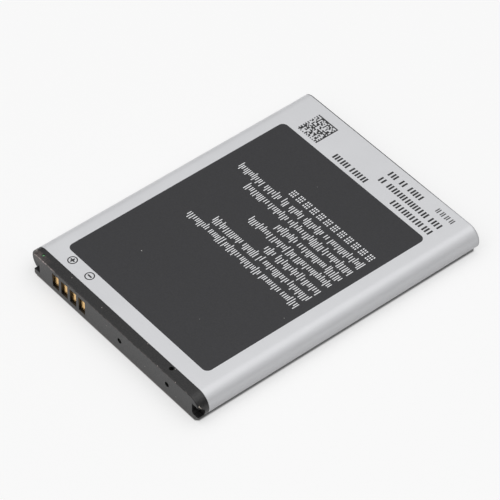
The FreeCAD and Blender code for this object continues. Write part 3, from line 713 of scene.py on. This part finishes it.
def within(made, output, full_at, gone_at):
    """1 where the output is beyond full_at, falling to 0 at gone_at. Both are in mm."""
    low, high = sorted((full_at, gone_at))
    ends = (1.0, 0.0) if full_at < gone_at else (0.0, 1.0)
    return spread(made, output, low * MM, high * MM, *ends)


FRONT, TOP = cad_low.y / MM, cad_high.z / MM
across, along, above_table = axes_of(cap_black)
print(f"the cap's front is at y {FRONT:.2f} mm and its top at z {TOP:.2f} mm")

# %% Rub the front's upper edge and paint a highlight along it
# Each pair says where a mark is full and where it is gone, in mm.
RUB_AND_HIGHLIGHT_BACK = (FRONT + 0.05, FRONT + 0.13)
RUB_AND_HIGHLIGHT_DOWN = (TOP - 0.2, TOP - 0.3)
STRONG_UP_TO, WEAK_FROM = -17.9, -16.4
STRONG_RUB_AND_HIGHLIGHT, WEAK_RUB_AND_HIGHLIGHT = 0.9, 0.11
# The pale line is partly rubbed skin and partly a painted highlight where the edge catches the light.
rubbed_edge_and_highlight = product(
    cap_black, within(cap_black, along, *RUB_AND_HIGHLIGHT_BACK), within(cap_black, above_table, *RUB_AND_HIGHLIGHT_DOWN),
    spread(cap_black, across, STRONG_UP_TO * MM, WEAK_FROM * MM, STRONG_RUB_AND_HIGHLIGHT, WEAK_RUB_AND_HIGHLIGHT),
    spread(cap_black, noise(cap_black, 0.6, 4), 0.36, 0.6),
)
print("the edge is rubbed from the left end to x", WEAK_FROM, "mm")

# %% Drop the specks and paint a glint
SPECKS = [
    (12.96, -32.70, 5.27), (7.83, -30.72, 5.3), (15.6, -30.77, 5.3), (17.98, -32.70, 5.27),
    (18.1, -32.75, 1.64), (-4.2, -31.6, 5.3), (-13.4, -31.2, 5.3), (20.6, -31.9, 5.2),
    (-1.5, -32.75, 3.6), (9.4, -32.75, 2.2),
]
SPECK_RADIUS, SPECK_STRENGTH = 0.05, 0.8
# The glint is a painted highlight on the step of the left lip, not dust.
GLINT_AT, GLINT_RADIUS = (-23.2, -31.7, 4.9), 0.1
specked = product(cap_black, near_points(cap_black, SPECKS, SPECK_RADIUS), SPECK_STRENGTH)
glint = near_points(cap_black, [GLINT_AT], GLINT_RADIUS)
# One pale colour carries the rubbed edge, the dust specks and the painted highlights together.
pale = highest(cap_black, rubbed_edge_and_highlight, specked, glint)
print(len(SPECKS), "specks on the cap")

# %% Scuff the left end, paint light on the lower edge and lay all marks on the plastic
SCUFF_ACROSS = (-21.6, -18.4)
SCUFF_DOWN = (4.7, 2.6)
SCUFF_BACK = (-31.65, -31.45)
LOWER_LIGHT_UP = (0.2, 0.7)
PALE_WEAR_DUST_AND_HIGHLIGHT, SCUFFED, LOWER_EDGE_LIGHT = (0.60, 0.52, 0.49), (0.15, 0.12, 0.112), (0.070, 0.052, 0.047)
scuffed_end = product(
    cap_black, within(cap_black, across, *SCUFF_ACROSS), within(cap_black, above_table, *SCUFF_DOWN),
    within(cap_black, along, *SCUFF_BACK),
    spread(cap_black, noise(cap_black, 0.35, 3), 0.35, 0.6, 0.1, 0.6),
)
# A pale brownish band of painted light along the lowest 0.2 to 0.7 mm, which lifts the shade near the table.
lower_edge_light_mask = product(
    cap_black, within(cap_black, above_table, *LOWER_LIGHT_UP),
    spread(cap_black, noise(cap_black, 0.8, 3), 0.35, 0.6, 0.4, 1.0),
)
with_lower_edge_light = mixed(cap_black, lower_edge_light_mask, clean, LOWER_EDGE_LIGHT)
scuffed = mixed(cap_black, scuffed_end, with_lower_edge_light, SCUFFED)
paint(cap_black, Base_Color=mixed(cap_black, pale, scuffed, PALE_WEAR_DUST_AND_HIGHLIGHT))
print("cap plastic has", len(cap_black.node_tree.nodes), "shader nodes")

# %% [markdown]
# ## A burr of flash
#
# Where the mould's halves met at the right latch pocket, a torn wisp of pale plastic stands on the lip. It
# has a shape of its own, so it is a mesh: a few spikes, each with three sides, that run from one knot to
# points on the lip. The lip's surface there was found with rays from the camera.

# %% Draw the burr
KNOT = Vector((24.24, -32.46, 4.06))
TIPS = [
    (23.75, -32.73, 3.95), (24.00, -32.73, 3.72), (24.50, -32.08, 3.50), (24.12, -32.36, 4.27),
    (24.32, -32.60, 3.74),
]
SPIKE_THICK = 0.13
SPIKE_SIDES = 3
PAST_KNOT = 0.1


def draw_burr():
    """Spikes from the knot to the tips. Each starts a little behind the knot, so that they mesh there."""
    burr = bmesh.new()
    for tip in TIPS:
        run = Vector(tip) - KNOT
        beside = run.orthogonal().normalized()
        above = run.normalized().cross(beside)
        ring = []
        for corner in range(SPIKE_SIDES):
            t = 2 * math.pi * corner / SPIKE_SIDES
            outward = beside * math.cos(t) + above * math.sin(t)
            ring.append(burr.verts.new(KNOT - PAST_KNOT * run + outward * SPIKE_THICK))
        point = burr.verts.new(Vector(tip))
        burr.faces.new(ring)
        for corner in range(SPIKE_SIDES):
            burr.faces.new((ring[corner], ring[(corner + 1) % SPIKE_SIDES], point))
    bmesh.ops.recalc_face_normals(burr, faces=burr.faces)
    bmesh.ops.scale(burr, vec=(MM, MM, MM), verts=burr.verts)
    mesh = bpy.data.meshes.new("lip_burr")
    burr.to_mesh(mesh)
    burr.free()
    return mesh


flash = material("flash_plastic", (0.55, 0.50, 0.43), 0.5)
paint(flash, Base_Color=tones(flash, 0.12, 2, CRISP, (0.32, 0.28, 0.23), (0.75, 0.70, 0.62)))
burr_mesh = draw_burr()
burr_mesh.materials.append(flash)
burr = bpy.data.objects.new("lip_burr", burr_mesh)
bpy.context.scene.collection.objects.link(burr)
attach(burr, "root")
print("burr:", len(burr_mesh.polygons), "faces")

# %% [markdown]
# ## The end plate
#
# The closed end is a thin black plate under the film's far edge. From above only its rim shows, as a fine
# dark line. Towards the right corner the film's shrunk edge laps over the rim, so the line fades out there:
# the rim takes the film's silver by its place along the edge.

# %% Make the end plate's plastic
# The silver is full up to the first Y and gone at the second, so the plate's outer face stays black.
RIM = (cad_high.y / MM - 0.08, cad_high.y / MM - 0.05)
LAP_FROM, LAP_TO = 6, 21
LAP_LEAST, LAP_MOST = 0.05, 0.9
LAPPED_SILVER = (0.60, 0.605, 0.62)
end_black = material("end_plate_plastic", (0.016, 0.016, 0.017), 0.45)
bare = tones(end_black, 0.25, 3, SOFT, (0.012, 0.012, 0.0125), (0.022, 0.022, 0.023))
plate_x, plate_y, _ = axes_of(end_black)
on_rim = within(end_black, plate_y, *RIM)
lap = spread(end_black, plate_x, LAP_FROM * MM, LAP_TO * MM, LAP_LEAST, LAP_MOST)
paint(end_black, Base_Color=mixed(end_black, product(end_black, on_rim, lap), bare, LAPPED_SILVER))
raise_by(end_black, noise(end_black, 0.1, 3), 0.003)
print("the rim turns silver from x", LAP_FROM, "to", LAP_TO, "mm")

# %% [markdown]
# ## The contacts and the pieces inside
#
# Four gilt contacts stand behind the cap's windows, and a corner of the green circuit board shows through
# a pin hole. The rest is hidden, but each piece still gets the finish of the real one.

# %% Make the gilt and the board's green
gilt = material("gilt", (1.0, 0.64, 0.26), 0.22, metallic=1.0)
uneven_gloss(gilt, 0.3, 3, 0.16, 0.3, stretch=(1, 1, 0.2))
raise_by(gilt, noise(gilt, 0.15, 2, (1, 1, 0.3)), 0.001)

board_green = material("board_green", (0.20, 0.55, 0.25), 0.35)
paint(board_green, Base_Color=tones(board_green, 0.4, 2, (0.4, 0.6), (0.17, 0.50, 0.22), (0.23, 0.60, 0.28)))
print("gilt and board green made")

# %% Make the hidden pieces' finishes
DARKER, LIGHTER = 0.88, 1.08


def inner_finish(name, colour, roughness, patch_mm, depth_mm, stretch=(1, 1, 1), **settings):
    """A plain finish with its own grain: patches of tone and a bump of the same size."""
    made = material(name, colour, roughness, **settings)
    grain = noise(made, patch_mm, 3, stretch)
    dark_tone = tuple(c * DARKER for c in colour)
    light_tone = tuple(min(1.0, c * LIGHTER) for c in colour)
    paint(made, Base_Color=mixed(made, spread(made, grain, *SOFT), dark_tone, light_tone))
    raise_by(made, grain, depth_mm)
    return made


drawn = inner_finish("can_aluminium", (0.62, 0.63, 0.64), 0.35, 0.3, 0.001, (1, 0.05, 1), metallic=1.0)
stamped = inner_finish("lid_aluminium", (0.60, 0.61, 0.62), 0.38, 0.3, 0.002, metallic=1.0)
seal = inner_finish("seal_plastic", (0.70, 0.70, 0.66), 0.5, 0.4, 0.002)
plated = inner_finish("nickel_plating", (0.55, 0.53, 0.49), 0.3, 0.2, 0.001, metallic=1.0)
strip = inner_finish("nickel_strip", (0.56, 0.54, 0.50), 0.32, 0.2, 0.001, (0.1, 1, 1), metallic=1.0)
paper = inner_finish("insulating_paper", (0.62, 0.60, 0.50), 0.85, 0.15, 0.008)
cutoff = inner_finish("cutoff_case", (0.025, 0.025, 0.027), 0.5, 0.3, 0.004)
chip = inner_finish("chip_case", (0.015, 0.015, 0.016), 0.55, 0.1, 0.004)
resistor = inner_finish("resistor_body", (0.02, 0.02, 0.022), 0.4, 0.1, 0.003)
capacitor = inner_finish("capacitor_body", (0.40, 0.28, 0.15), 0.5, 0.1, 0.003)
sensor = inner_finish("thermistor_body", (0.08, 0.09, 0.10), 0.5, 0.1, 0.003)
holder = inner_finish("holder_plastic", (0.60, 0.60, 0.57), 0.5, 0.2, 0.003)
tape = inner_finish("tape", (0.72, 0.72, 0.66), 0.6, 0.5, 0.003)
print(len(bpy.data.materials), "materials in the scene")

# %% Give each solid its finish
FINISHES = {
    "top_cap": cap_black, "end_plate": end_black, "circuit_board": board_green,
    "cell_can": drawn, "cell_lid": stamped, "fill_plug": stamped, "terminal_gasket": seal,
    "terminal_rivet": plated, "weld_plate_plus": plated, "weld_plate_minus": plated,
    "cutoff_lead": strip, "negative_strip": strip, "positive_strip": strip,
    "lid_paper": paper, "thermal_cutoff": cutoff, "power_switch_chip": chip, "protection_chip": chip,
    "chip_resistors": resistor, "chip_capacitors": capacitor, "thermistor": sensor,
    "board_holder": holder, "end_tape": tape,
    "contact_1": gilt, "contact_2": gilt, "contact_3": gilt, "contact_4": gilt,
}
for name, finish in FINISHES.items():
    solid = nodes[name]
    if not solid.material_slots:
        solid.data.materials.append(finish)
    for slot in solid.material_slots:
        slot.material = finish
plain = sorted(set(nodes) - set(FINISHES) - {"label_wrap"})
print("nodes without a finish:", plain)
